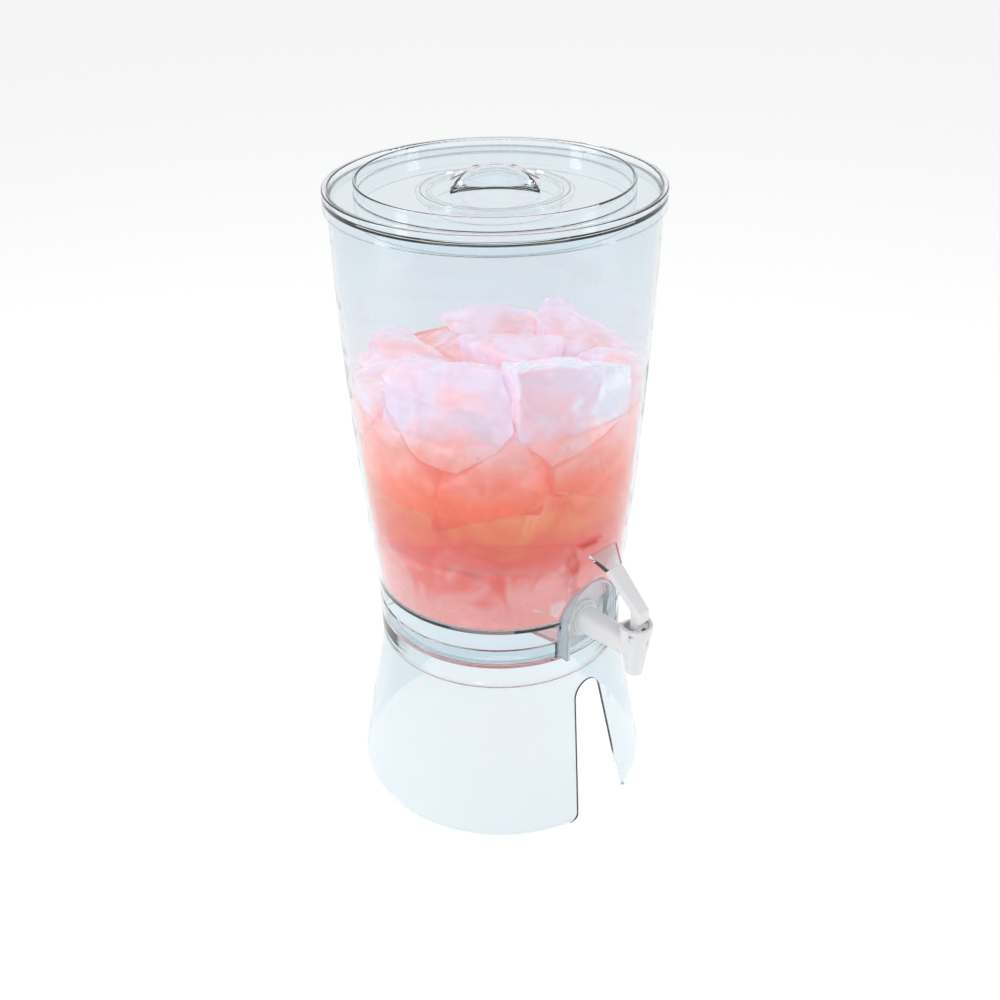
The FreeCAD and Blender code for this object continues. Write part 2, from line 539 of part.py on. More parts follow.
def shank_nut():
    flange_start = NUT_FRONT - NUT_FLANGE_THICKNESS
    nut_end = NUT_FRONT - NUT_LENGTH
    corner = NUT_ACROSS_FLATS / math.sqrt(3)
    corners = []
    for k in range(7):
        angle = math.radians(60 * k + 30)
        corners.append(point(corner * math.cos(angle), flange_start, TAP_HEIGHT + corner * math.sin(angle)))
    hexagon = Part.Face(Part.makePolygon(corners)).extrude(FreeCAD.Vector(0, flange_start - nut_end, 0))
    body = hexagon.fuse(rod_out(NUT_FLANGE_RADIUS, flange_start, NUT_FRONT, TAP_HEIGHT))
    return body.cut(rod_out(SHANK_RADIUS, nut_end - EPS, NUT_FRONT + EPS, TAP_HEIGHT))


def bonnet():
    body = ring(BONNET_RADIUS, STEM_RADIUS + STEM_HOLE_CLEARANCE, BONNET_BOTTOM, BONNET_TOP, out=SPOUT_OUT)
    seal_seat = ring(SEAL_RADIUS, 0, BONNET_TOP - SEAL_THICKNESS, BONNET_TOP + EPS, out=SPOUT_OUT)
    return body.fuse(snap_block(0, BONNET_RADIUS + SNAP_REACH)).cut(seal_seat)


def stem_seal():
    return ring(SEAL_RADIUS, STEM_RADIUS + RUNNING_CLEARANCE, BONNET_TOP - SEAL_THICKNESS, BONNET_TOP,
                out=SPOUT_OUT)


# ---------------------------------------------------------------- lever
def lever_frame():
    """Directions along the arm (towards the tank) and square to it (up), as (out, height) pairs."""
    lean = math.radians(ARM_LEAN)
    return (-math.cos(lean), math.sin(lean)), (math.sin(lean), math.cos(lean))


def arm_point(along, down):
    """Place on the arm, measured from its upper front edge, as an (out, height) pair."""
    forward, up = lever_frame()
    return (SPOUT_OUT + ARM_OVERHANG + forward[0] * along - up[0] * down,
            TAP_HEIGHT + ARM_TOP_RISE + forward[1] * along - up[1] * down)


def section(top, bottom, half_width):
    """Four-sided cross-section between two (out, height) pairs."""
    corners = [point(-half_width, *top), point(half_width, *top), point(half_width, *bottom),
               point(-half_width, *bottom)]
    return Part.makePolygon(corners + corners[:1])


def tongue(shrink):
    """Tongue of the paddle inside the arm."""
    middle = ARM_SEAM_THICKNESS / 2
    half_thick = TONGUE_THICKNESS / 2
    corners = [arm_point(ARM_LENGTH - TONGUE_LENGTH, middle - half_thick),
               arm_point(ARM_LENGTH + shrink, middle - half_thick),
               arm_point(ARM_LENGTH + shrink, middle + half_thick),
               arm_point(ARM_LENGTH - TONGUE_LENGTH, middle + half_thick)]
    return slab(corners, TONGUE_WIDTH / 2)


def heel_room():
    """What the heel may fill as it turns about the lever pin inside the cup's bore."""
    offset = PIN_OUT - SPOUT_OUT
    reach = CUP_BORE - HEEL_CLEARANCE
    half = HEEL_HALF_WIDTH + EPS
    side = math.sqrt(reach ** 2 - half ** 2) - offset
    ends = [point(-half, PIN_OUT + side, PIN_HEIGHT), point(half, PIN_OUT + side, PIN_HEIGHT)]
    crown = Part.Arc(ends[0], point(0, SPOUT_OUT + reach, PIN_HEIGHT), ends[1]).toShape()
    base = Part.makePolygon([ends[1], point(half, PIN_OUT, PIN_HEIGHT), point(-half, PIN_OUT, PIN_HEIGHT),
                             ends[0]])
    face = Part.Face(Part.Wire([crown] + base.Edges))
    return face.revolve(point(0, PIN_OUT, PIN_HEIGHT), FreeCAD.Vector(1, 0, 0), 360)


def lever_arm():
    front_top = arm_point(0, 0)
    front_bottom = (front_top[0], front_top[1] - ARM_FRONT_HEIGHT)
    bar = Part.makeLoft([
        section(front_top, front_bottom, ARM_FRONT_WIDTH / 2),
        section(arm_point(ARM_LENGTH, 0), arm_point(ARM_LENGTH, ARM_SEAM_THICKNESS), ARM_SEAM_WIDTH / 2),
    ], True, True)
    crown = [e for e in bar.Edges if min(v.Z for v in e.Vertexes) > front_bottom[1] + 1
             and e.Length > ARM_LENGTH / 2 and e.BoundBox.ZMax > arm_point(ARM_LENGTH, 1)[1]]
    bar = bar.makeFillet(ARM_EDGE_ROUND, crown)

    eye_back = SPOUT_OUT - LINK_EYE_RADIUS
    neck_front = PIN_OUT - NECK_FRONT_INSET
    knee = PIN_HEIGHT + NECK_HEIGHT
    neck = slab([
        (neck_front, PIN_HEIGHT), (neck_front, knee), front_bottom,
        (front_bottom[0] - 1, front_bottom[1] + 2),
        (eye_back, arm_point(ARM_LENGTH / 3, ARM_FRONT_HEIGHT / 2)[1]),
        (eye_back, LINK_HEIGHT), (SPOUT_OUT, LINK_HEIGHT),
    ], HEEL_HALF_WIDTH)
    heel = rod_across(HEEL_RADIUS, HEEL_HALF_WIDTH, PIN_OUT, PIN_HEIGHT).common(heel_room())
    eye = rod_across(LINK_EYE_RADIUS, HEEL_HALF_WIDTH, SPOUT_OUT, LINK_HEIGHT)
    web = slab([
        (SPOUT_OUT, LINK_HEIGHT - LINK_EYE_RADIUS), (PIN_OUT, PIN_HEIGHT - HEEL_RADIUS),
        (PIN_OUT, PIN_HEIGHT), (SPOUT_OUT, PIN_HEIGHT),
    ], HEEL_HALF_WIDTH)
    fork_bottom = min(PIN_HEIGHT - HEEL_RADIUS, LINK_HEIGHT - LINK_EYE_RADIUS) - EPS
    fork = block(FORK_HALF_GAP, eye_back - EPS, PIN_OUT + HEEL_RADIUS + EPS,
                 fork_bottom, PIN_HEIGHT + FORK_HEIGHT)
    body = bar.fuse([neck, heel, eye, web])
    return body.cut([
        fork,
        rod_across(PIN_RADIUS + RUNNING_CLEARANCE, LUG_OUT, PIN_OUT, PIN_HEIGHT),
        rod_across(LINK_PIN_RADIUS, LUG_OUT, SPOUT_OUT, LINK_HEIGHT),
        tongue(EPS),
    ])


def lever_paddle():
    tip_drop = (ARM_SEAM_THICKNESS - PADDLE_TIP_THICKNESS) / 2
    tip = ARM_LENGTH + PADDLE_LENGTH
    blade = Part.makeLoft([
        section(arm_point(ARM_LENGTH, 0), arm_point(ARM_LENGTH, ARM_SEAM_THICKNESS), ARM_SEAM_WIDTH / 2),
        section(arm_point(tip, tip_drop), arm_point(tip, tip_drop + PADDLE_TIP_THICKNESS),
                PADDLE_TIP_WIDTH / 2),
    ], True, True)
    tip_edges = [e for e in blade.Edges if abs(e.Vertexes[0].X) > ARM_SEAM_WIDTH / 2 + 1
                 and abs(e.Vertexes[-1].X) > ARM_SEAM_WIDTH / 2 + 1 and e.Length < PADDLE_TIP_THICKNESS * 1.5]
    blade = blade.makeFillet(PADDLE_CORNER_RADIUS, tip_edges)
    return blade.fuse(tongue(0))


def lever_pin():
    return rod_across(PIN_RADIUS, PIN_HALF_LENGTH, PIN_OUT, PIN_HEIGHT)


def link_pin():
    return rod_across(LINK_PIN_RADIUS, HEEL_HALF_WIDTH, SPOUT_OUT, LINK_HEIGHT)


# ---------------------------------------------------------------- valve
def stem():
    tab_bottom = BONNET_TOP + REST_GAP * 2
    tab_top = LINK_HEIGHT + LINK_EYE_RADIUS
    rod = ring(STEM_RADIUS, 0, STEM_BOTTOM, tab_bottom + EPS, out=SPOUT_OUT)
    collar = ring(STEM_COLLAR_RADIUS, 0, PLUG_TOP, SPRING_FOOT, out=SPOUT_OUT)
    tab = block(STEM_TAB_THICKNESS / 2, SPOUT_OUT - STEM_TAB_HALF_WIDTH, SPOUT_OUT + STEM_TAB_HALF_WIDTH,
                tab_bottom, tab_top)
    slot_radius = LINK_PIN_RADIUS + LINK_CLEARANCE
    slot_ends = [rod_across(slot_radius, STEM_TAB_THICKNESS, SPOUT_OUT - shift, LINK_HEIGHT)
                 for shift in (0, LINK_DRIFT)]
    slot = block(STEM_TAB_THICKNESS, SPOUT_OUT - LINK_DRIFT, SPOUT_OUT, LINK_HEIGHT - slot_radius,
                 LINK_HEIGHT + slot_radius)
    return rod.fuse([collar, tab]).cut(slot_ends + [slot])


def seat_plug():
    body = ring(PLUG_RADIUS, 0, PLUG_BOTTOM, PLUG_TOP, out=SPOUT_OUT)
    nose_radius = OUTLET_RADIUS - NOSE_CLEARANCE
    nose = Part.makeCone(nose_radius - PLUG_NOSE_TAPER, nose_radius, PLUG_NOSE_DEPTH + REST_GAP,
                         point(0, SPOUT_OUT, SEAT - PLUG_NOSE_DEPTH))
    socket = ring(STEM_RADIUS, 0, STEM_BOTTOM, PLUG_TOP + EPS, out=SPOUT_OUT)
    return body.fuse(nose).cut(socket)


def stem_spring():
    foot = SPRING_FOOT + SPRING_WIRE_RADIUS
    height = BONNET_BOTTOM - SPRING_WIRE_RADIUS - foot
    steps = round(SPRING_TURNS * SPRING_POINTS_PER_TURN)
    places = []
    for step in range(steps + 1):
        angle = 2 * math.pi * step / SPRING_POINTS_PER_TURN
        east, north = SPRING_COIL_RADIUS * math.cos(angle), SPRING_COIL_RADIUS * math.sin(angle)
        places.append(FreeCAD.Vector(east, north, height * step / steps))
    helix = Part.BSplineCurve()
    helix.interpolate(places)
    wire = Part.Wire(Part.makeCircle(SPRING_WIRE_RADIUS, places[0], FreeCAD.Vector(0, 1, 0)))
    coil = Part.Wire(helix.toShape()).makePipeShell([wire], True, True)
    coil.translate(point(0, SPOUT_OUT, foot))
    return coil


# ---------------------------------------------------------------- write the pieces
os.makedirs("parts", exist_ok=True)
PIECES = {
    "stand": stand(),
    "tank": tank(),
    "lid": lid(),
    "refill_cap": refill_cap(),
    "tap_body": tap_body(),
    "outer_washer": clamped_disc(OUTER_WASHER_RADIUS, PAD_OUT, FLANGE_BACK),
    "inner_washer": clamped_disc(INNER_WASHER_RADIUS, NUT_FRONT, PAD_BACK),
    "shank_nut": shank_nut(),
    "bonnet": bonnet(),
    "stem_seal": stem_seal(),
    "lever_pin": lever_pin(),
    "lever_arm": lever_arm(),
    "lever_paddle": lever_paddle(),
    "link_pin": link_pin(),
    "stem": stem(),
    "seat_plug": seat_plug(),
    "stem_spring": stem_spring(),
}
for piece_name, piece in PIECES.items():
    save(piece_name, piece)
print(f"lever pin at out {PIN_OUT:.3f}, height {PIN_HEIGHT:.3f}; stem lift {STEM_LIFT:.3f} mm, "
      f"{STEM_LIFT / math.radians(LEVER_SWING):.4f} mm per radian")
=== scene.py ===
import math
import random
import bmesh
import bpy
from mathutils import Matrix, Vector, noise


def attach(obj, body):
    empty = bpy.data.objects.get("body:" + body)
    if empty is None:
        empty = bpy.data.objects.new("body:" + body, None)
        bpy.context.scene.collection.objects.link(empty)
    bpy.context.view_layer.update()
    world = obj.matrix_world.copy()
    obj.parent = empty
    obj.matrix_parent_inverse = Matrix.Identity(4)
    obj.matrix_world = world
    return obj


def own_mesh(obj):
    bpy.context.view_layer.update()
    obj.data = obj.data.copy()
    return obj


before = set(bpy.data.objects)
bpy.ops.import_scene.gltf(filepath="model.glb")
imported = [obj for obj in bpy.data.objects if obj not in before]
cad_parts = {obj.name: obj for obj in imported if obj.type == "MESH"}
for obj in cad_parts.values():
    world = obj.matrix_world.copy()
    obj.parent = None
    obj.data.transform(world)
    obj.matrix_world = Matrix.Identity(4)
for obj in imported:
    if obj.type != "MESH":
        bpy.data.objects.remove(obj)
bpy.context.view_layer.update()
scene = bpy.context.scene
mm = 0.001
paintedShadeEnd = 0.80              # cosine of the turn at which a corner's painted shade is full
print("frame loaded:", len(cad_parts), "nodes")


# colour and node helpers

def linear(hexCode):
    # sRGB hex to the linear values that shaders use
    parts = [int(hexCode[i:i + 2], 16) / 255 for i in (1, 3, 5)]
    return tuple(c / 12.92 if c <= 0.04045 else ((c + 0.055) / 1.055) ** 2.4 for c in parts) + (1.0,)


def addNode(tree, kind, sockets=None, **settings):
    # one node with its settings; a socket takes a value or another node's output
    made = tree.nodes.new(kind)
    for name, value in settings.items():
        setattr(made, name, value)
    for name, value in (sockets or {}).items():
        socket = made.inputs[name]
        if isinstance(value, bpy.types.NodeSocket):
            tree.links.new(value, socket)
        else:
            socket.default_value = value
    return made


def newMaterial(name):
    material = bpy.data.materials.new(name)
    material.use_nodes = True
    tree = material.node_tree
    tree.nodes.clear()
    output = addNode(tree, "ShaderNodeOutputMaterial")
    return material, tree, output


def perMetre(sizeMm):
    # noise scale for a pattern whose grains are this many millimetres across
    return 1.0 / (sizeMm * mm)


def setStops(ramp, stops):
    # fills a colour ramp from (position, hex code or grey level) pairs
    marks = ramp.color_ramp.elements
    shades = [(place, linear(code) if isinstance(code, str) else (code, code, code, 1.0))
              for place, code in stops]
    marks[0].position, marks[0].color = shades[0]
    marks[1].position, marks[1].color = shades[-1]
    for place, shade in shades[1:-1]:
        marks.new(place).color = shade


def paintedCornerShade(tree, radius, start, depth):
    # painted shade: 0 on open faces and up to depth on the corners, found from how the bevelled normal turns
    bevel = addNode(tree, "ShaderNodeBevel", {"Radius": radius}, samples=6)
    surface = addNode(tree, "ShaderNodeNewGeometry")
    facing = addNode(tree, "ShaderNodeVectorMath",
                     {0: bevel.outputs["Normal"], 1: surface.outputs["Normal"]}, operation="DOT_PRODUCT")
    paintedShade = addNode(tree, "ShaderNodeMapRange", {
        "Value": facing.outputs["Value"], "From Min": start, "From Max": paintedShadeEnd, "To Max": depth})
    return paintedShade.outputs["Result"]


# clear plastic
clearPlastic = {
    "ior": 1.57,            # styrene-acrylonitrile
    "roughness": 0.015,
    "flowMm": 60.0,         # slow ripples that a mould leaves in a wall
    "flowBump": 0.05,
    "flowHeight": 2.0 * mm,
    "scuffMm": 3.0,         # faint wipe marks, which are a little rougher
    "scuffShare": (0.55, 0.8),
    "scuffRougher": 4,      # times the plain roughness
    "edgeShadeMm": 0.9,          # width of the painted shade line along each corner
    "edgeShadeStart": 0.995,     # cosine of the turn at which the painted shade line begins
}


# the pad behind the tap, and the arch around it: paler and less clear there
pocket = {
    "crown": 196.5 * mm,      # height of the arch's centre
    "radius": (26.5 * mm, 28.5 * mm),
    "front": (-86.0 * mm, -91.0 * mm),
    "milk": "#DFE7EC",
    "clarity": 0.45,
}


def pocketShare(tree, place):
    # 1 on the pad and the arch, 0 elsewhere
    parts = addNode(tree, "ShaderNodeSeparateXYZ", {"Vector": place})
    above = addNode(tree, "ShaderNodeMath", {0: parts.outputs["Z"], 1: pocket["crown"]},
                    operation="SUBTRACT")
    raised = addNode(tree, "ShaderNodeMath", {0: above.outputs["Value"], 1: 0.0}, operation="MAXIMUM")
    flat = addNode(tree, "ShaderNodeCombineXYZ", {"X": parts.outputs["X"], "Z": raised.outputs["Value"]})
    away = addNode(tree, "ShaderNodeVectorMath", {0: flat.outputs["Vector"]}, operation="LENGTH")
    inArch = addNode(tree, "ShaderNodeMapRange", {
        "Value": away.outputs["Value"], "From Min": pocket["radius"][1], "From Max": pocket["radius"][0]})
    inFront = addNode(tree, "ShaderNodeMapRange", {
        "Value": parts.outputs["Y"], "From Min": pocket["front"][0], "From Max": pocket["front"][1]})
    both = addNode(tree, "ShaderNodeMath", {0: inArch.outputs["Result"], 1: inFront.outputs["Result"]},
                   operation="MULTIPLY")
    return both.outputs["Value"]


def mouldedClearSan(name, tint, edge, edgeShadeDepth=1.0, milky=False):
    # SAN, injection moulded and polished: water-clear with a cool cast, and corners painted dark, a painted
    # shade standing in for light that leaves the wall there
    material, tree, output = newMaterial(name)
    place = addNode(tree, "ShaderNodeTexCoord").outputs["Object"]
    paintedShade = paintedCornerShade(tree, clearPlastic["edgeShadeMm"] * mm, clearPlastic["edgeShadeStart"], edgeShadeDepth)
    body, clarity = linear(tint), 1.0
    if milky:
        share = pocketShare(tree, place)
        pale = addNode(tree, "ShaderNodeMix", {
            "Factor": share, "A": body, "B": linear(pocket["milk"])}, data_type="RGBA")
        body = pale.outputs["Result"]
        clarity = addNode(tree, "ShaderNodeMapRange", {
            "Value": share, "To Min": 1.0, "To Max": pocket["clarity"]}).outputs["Result"]
    # painted shade: the corners take the dark edge colour
    colour = addNode(tree, "ShaderNodeMix", {
        "Factor": paintedShade, "A": body, "B": linear(edge)}, data_type="RGBA")
    flow = addNode(tree, "ShaderNodeTexNoise", {
        "Vector": place, "Scale": perMetre(clearPlastic["flowMm"]), "Detail": 1.0})
    ripple = addNode(tree, "ShaderNodeBump", {
        "Height": flow.outputs["Fac"], "Strength": clearPlastic["flowBump"],
        "Distance": clearPlastic["flowHeight"]})
    scuff = addNode(tree, "ShaderNodeTexNoise", {
        "Vector": place, "Scale": perMetre(clearPlastic["scuffMm"]), "Detail": 4.0})
    gloss = addNode(tree, "ShaderNodeMapRange", {
        "Value": scuff.outputs["Fac"], "From Min": clearPlastic["scuffShare"][0],
        "From Max": clearPlastic["scuffShare"][1], "To Min": clearPlastic["roughness"],
        "To Max": clearPlastic["roughness"] * clearPlastic["scuffRougher"]})
    shader = addNode(tree, "ShaderNodeBsdfPrincipled", {
        "Base Color": colour.outputs["Result"], "Roughness": gloss.outputs["Result"],
        "IOR": clearPlastic["ior"],
        "Transmission Weight": clarity, "Normal": ripple.outputs["Normal"]})
    tree.links.new(shader.outputs["BSDF"], output.inputs["Surface"])
    return material


# solid plastics, rubber and steel
satin = {
    "cloudMm": 14.0,              # slow change of shade across a piece
    "grainShare": (0.3, 0.7),
    "glossSpread": (0.85, 1.2),   # how far the grain moves the roughness
    "grainHeight": 0.2 * mm,
    "softReach": 2.0 * mm,        # how far light goes under the surface
}


def satinSolid(name, base, shade, roughness, ior, grainMm, bump, metallic=0.0, soft=0.0, stretch=1.0):
    material, tree, output = newMaterial(name)
    place = addNode(tree, "ShaderNodeTexCoord").outputs["Object"]
    drawn = addNode(tree, "ShaderNodeMapping", {"Vector": place, "Scale": (1.0, 1.0, stretch)})
    grain = addNode(tree, "ShaderNodeTexNoise", {
        "Vector": drawn.outputs["Vector"], "Scale": perMetre(grainMm), "Detail": 3.0})
    cloud = addNode(tree, "ShaderNodeTexNoise", {
        "Vector": place, "Scale": perMetre(satin["cloudMm"]), "Detail": 2.0})
    gloss = addNode(tree, "ShaderNodeMapRange", {
        "Value": grain.outputs["Fac"], "From Min": satin["grainShare"][0], "From Max": satin["grainShare"][1],
        "To Min": roughness * satin["glossSpread"][0], "To Max": roughness * satin["glossSpread"][1]})
    relief = addNode(tree, "ShaderNodeBump", {
        "Height": grain.outputs["Fac"], "Strength": bump, "Distance": satin["grainHeight"]})
    colour = addNode(tree, "ShaderNodeMix", {
        "Factor": cloud.outputs["Fac"], "A": linear(base), "B": linear(shade)}, data_type="RGBA")
    shader = addNode(tree, "ShaderNodeBsdfPrincipled", {
        "Base Color": colour.outputs["Result"], "Roughness": gloss.outputs["Result"], "IOR": ior,
        "Metallic": metallic, "Subsurface Weight": soft, "Subsurface Scale": satin["softReach"],
        "Normal": relief.outputs["Normal"]})
    tree.links.new(shader.outputs["BSDF"], output.inputs["Surface"])
    return material


def dress(node, material, shadow=True):
    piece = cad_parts[node]
    piece.data.materials.clear()
    piece.data.materials.append(material)
    piece.visible_shadow = shadow
    return piece


# tint, colour of the painted shade line along the corners, and how dark that painted shade goes
sanStand = mouldedClearSan("sanStandMouldedClear", "#E3ECF0", "#2C3438", 0.85)
sanTank = mouldedClearSan("sanTankMouldedClear", "#E9F0F4", "#343C42", 0.6, milky=True)
sanLid = mouldedClearSan("sanLidMouldedClear", "#F9FDFF", "#1E2529", 0.9)
sanPaddle = mouldedClearSan("sanPaddleMouldedClear", "#E4EAEC", "#50585C", 0.6)
# polypropylene, moulded with a satin mould face: soft white, broad highlights
ppTap = satinSolid("polypropyleneSatinWhite", "#E4E5E6", "#DBDCDE", 0.28, 1.49, 0.5, 0.15)
# silicone rubber, pressed: matt, slightly translucent grey-white
silicone = satinSolid("siliconePressedPale", "#D9DCDD", "#CDD1D3", 0.55, 1.41, 0.4, 0.2, soft=0.15)
# stainless steel wire, drawn: fine lines along its length and a bright grey
steel = satinSolid("stainlessWireDrawn", "#C9CBCD", "#B9BCBF", 0.24, 1.5, 0.3, 0.25,
                   metallic=1.0, stretch=0.15)

for node, material in (("stand", sanStand), ("tank", sanTank), ("lid", sanLid), ("refill_cap", sanLid),
                       ("lever_paddle", sanPaddle)):
    dress(node, material, shadow=False)
for node in ("tap_body", "shank_nut", "bonnet", "lever_arm", "stem"):
    dress(node, ppTap)
for node in ("outer_washer", "inner_washer", "stem_seal", "seat_plug"):
    dress(node, silicone)
for node in ("lever_pin", "link_pin", "stem_spring"):
    dress(node, steel)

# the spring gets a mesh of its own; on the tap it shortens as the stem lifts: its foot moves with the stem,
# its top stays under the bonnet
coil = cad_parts["stem_spring"]
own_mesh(coil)
print("frame pieces dressed")

# the drink
drink = {
    "level": 368 * mm,        # waterline above the table
    "gap": 0.4 * mm,          # between the drink and the wall, so their faces never coincide
    "rings": 36,
    "ringCrowding": 1.4,      # above 1 puts more rings near the floor
    "sides": 128,
    "floorRound": 3 * mm,     # the tank's rounded corner, above the floor
    "creep": ((1.2, 0.5), (2.6, 1.0), (5.0, 1.3)),   # mm: the surface dips this much, so far from the wall
    "dip": 1.4 * mm,
    "surfaceRings": (0.8, 0.6, 0.4, 0.2, 0.05),
    "wave": 0.8 * mm,
    "waveMm": 40.0,
    "wellRadius": 43 * mm,
    "wellDepth": 6 * mm,
    "wellSides": 96,
    "channelHalf": 23 * mm,
    "channelEnd": 92 * mm,
    "sumpHalf": 18 * mm,
    "sumpBack": 45 * mm,
    "sumpDepth": 24.3 * mm,
    "overlap": 2 * mm,        # how far the well, channel and sump reach up into the body
    "pocketRadius": 28.9 * mm,   # arch that the tap's pocket takes out of the front
    "pocketBack": 92.6 * mm,
    "pocketFront": 140 * mm,
    "pocketFoot": 150 * mm,
    "pocketSteps": 24,
    "scan": 215 * mm,         # height from which the floor is looked for, below the waterline
    "floorProbe": 60 * mm,    # place on the plain floor, beside the well
}
punch = {
    "swirlMm": 38.0,
    "drift": 85 * mm,         # how far the swirls lift the colours
    "span": (30 * mm, 45 * mm),   # colours start above the floor, and end above the waterline
    # pale where the floor shines through, as painted light, deep red over it, then orange, then pale under
    # the ice
    "colours": ((0.0, "#FFE2E0"), (0.22, "#FFC6C2"), (0.34, "#FB6454"), (0.46, "#F72F17"),
                (0.60, "#FC661C"), (0.72, "#FD8E54"), (0.84, "#FDC4AC"), (1.0, "#FFF0EC")),
    "clarity": ((0.10, 0.75), (0.30, 0.60), (0.52, 0.42), (0.78, 0.97)),
    "roughness": 0.03,
    "ior": 1.333,             # water
    "paintedGlow": 0.10,             # painted light: a glow standing in for light scattered inside, which a thin shell lacks
    "line": "#8E2F22",        # painted shade at the corners, such as the outline of the well
    "shadeLineWidth": 0.8 * mm,
    "shadeLineStart": 0.99,
    "shadeLineDepth": 0.8,
}
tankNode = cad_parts["tank"]


def insideRadius(height):
    # radius of the tank's inner wall, found by looking from the axis towards the back
    hit, place, _, _ = tankNode.ray_cast(Vector((0, 0, height)), Vector((0, 1, 0)))
    return place.y if hit else 0.0


floorLook = tankNode.ray_cast(Vector((drink["floorProbe"], drink["floorProbe"], drink["scan"])),
                              Vector((0, 0, -1)))
floorTop = floorLook[1].z


def meshObject(name, bm):
    mesh = bpy.data.meshes.new(name)
    bmesh.ops.recalc_face_normals(bm, faces=bm.faces)
    bm.to_mesh(mesh)
    bm.free()
    made = bpy.data.objects.new(name, mesh)
    scene.collection.objects.link(made)
    return made


def lathe(name, profile, sides):
    # closed solid turned about the z axis from (radius, height) pairs; both ends lie on the axis
    bm = bmesh.new()
    bottom = bm.verts.new((0, 0, profile[0][1]))
    rows = []
    for radius, height in profile:
        rows.append([bm.verts.new((radius * math.cos(2 * math.pi * k / sides),
                                   radius * math.sin(2 * math.pi * k / sides), height))
                     for k in range(sides)])
    top = bm.verts.new((0, 0, profile[-1][1]))
    for k in range(sides):
        after = (k + 1) % sides
        bm.faces.new((bottom, rows[0][after], rows[0][k]))
        bm.faces.new((top, rows[-1][k], rows[-1][after]))
        for low, high in zip(rows, rows[1:]):
            bm.faces.new((low[k], low[after], high[after], high[k]))
    return meshObject(name, bm)


def boxBetween(name, low, high):
    bm = bmesh.new()
    size = [b - a for a, b in zip(low, high)]
    middle = [(a + b) / 2 for a, b in zip(low, high)]
    bmesh.ops.create_cube(bm, size=1.0, matrix=Matrix.Translation(middle) @ Matrix.Diagonal(size + [1.0]))
    return meshObject(name, bm)


def combine(body, extras, operation="UNION"):
    for extra in extras:
        join = body.modifiers.new("join", "BOOLEAN")
        join.operation, join.solver, join.object = operation, "MANIFOLD", extra
        freeze(body)
        bpy.data.objects.remove(extra)


def freeze(piece):
    # replaces the mesh by what its modifiers make of it
    bpy.context.view_layer.update()
    shown = piece.evaluated_get(bpy.context.evaluated_depsgraph_get())
    mesh = bpy.data.meshes.new_from_object(shown)
    piece.modifiers.clear()
    piece.data = mesh


def archBlock():
    # what the tap's pocket takes out of the tank, with the wall around it
    bm = bmesh.new()
    radius, steps, foot = drink["pocketRadius"], drink["pocketSteps"], drink["pocketFoot"]
    outline = [(-radius, foot)]
    outline += [(-radius * math.cos(math.pi * k / steps),
                 pocket["crown"] + radius * math.sin(math.pi * k / steps)) for k in range(steps + 1)]
    outline.append((radius, foot))
    rows = [[bm.verts.new((x, -out, z)) for x, z in outline]
            for out in (drink["pocketBack"], drink["pocketFront"])]
    bm.faces.new(rows[0])
    bm.faces.new(rows[1][::-1])
    for k in range(len(outline)):
        after = (k + 1) % len(outline)
        bm.faces.new((rows[0][k], rows[1][k], rows[1][after], rows[0][after]))
    return meshObject("drinkPocket", bm)


def makeDrink():
    gap, overlap = drink["gap"], drink["overlap"]
    bottom = floorTop + gap
    span = drink["level"] - bottom
    profile = [(insideRadius(bottom + gap) - 2 * gap - drink["floorRound"], bottom)]
    for step in range(drink["rings"] + 1):
        share = step / drink["rings"]
        height = bottom + gap + (span - gap) * share ** drink["ringCrowding"]
        profile.append((insideRadius(height) - gap, height))
    # the surface creeps up the wall a little and then lies flat
    edge = profile[-1][0]
    for inset, drop in drink["creep"]:
        profile.append((edge - inset * mm, drink["level"] - drop * mm))
    for share in drink["surfaceRings"]:
        profile.append((edge * share, drink["level"] - drink["dip"]))
    body = lathe("drink", profile, drink["sides"])
    wellFloor = floorTop - drink["wellDepth"] + gap
    sumpFloor = floorTop - drink["sumpDepth"] + gap
    # the extras end at slightly different heights, so none of their faces coincide
    well = lathe("drinkWell", [(drink["wellRadius"] - gap, wellFloor),
                               (drink["wellRadius"] - gap, bottom + overlap)], drink["wellSides"])
    half = drink["channelHalf"] - gap
    channel = boxBetween("drinkChannel", (-half, -drink["channelEnd"] + gap, wellFloor + 0.05 * mm),
                         (half, drink["channelEnd"] - gap, bottom + overlap * 0.9))
    half = drink["sumpHalf"] - gap
    sump = boxBetween("drinkSump", (-half, -drink["channelEnd"] + 1.5 * gap, sumpFloor),
                      (half, -drink["sumpBack"], bottom + overlap * 0.8))
    combine(body, [well, channel, sump])
    combine(body, [archBlock()], "DIFFERENCE")
    for vertex in body.data.vertices:
        x, y, z = vertex.co
        if z > drink["level"] - 2 * mm and math.hypot(x, y) < edge - 2 * mm:
            vertex.co.z += drink["wave"] * noise.noise(Vector((x, y, 0)) * perMetre(drink["waveMm"]))
    return body


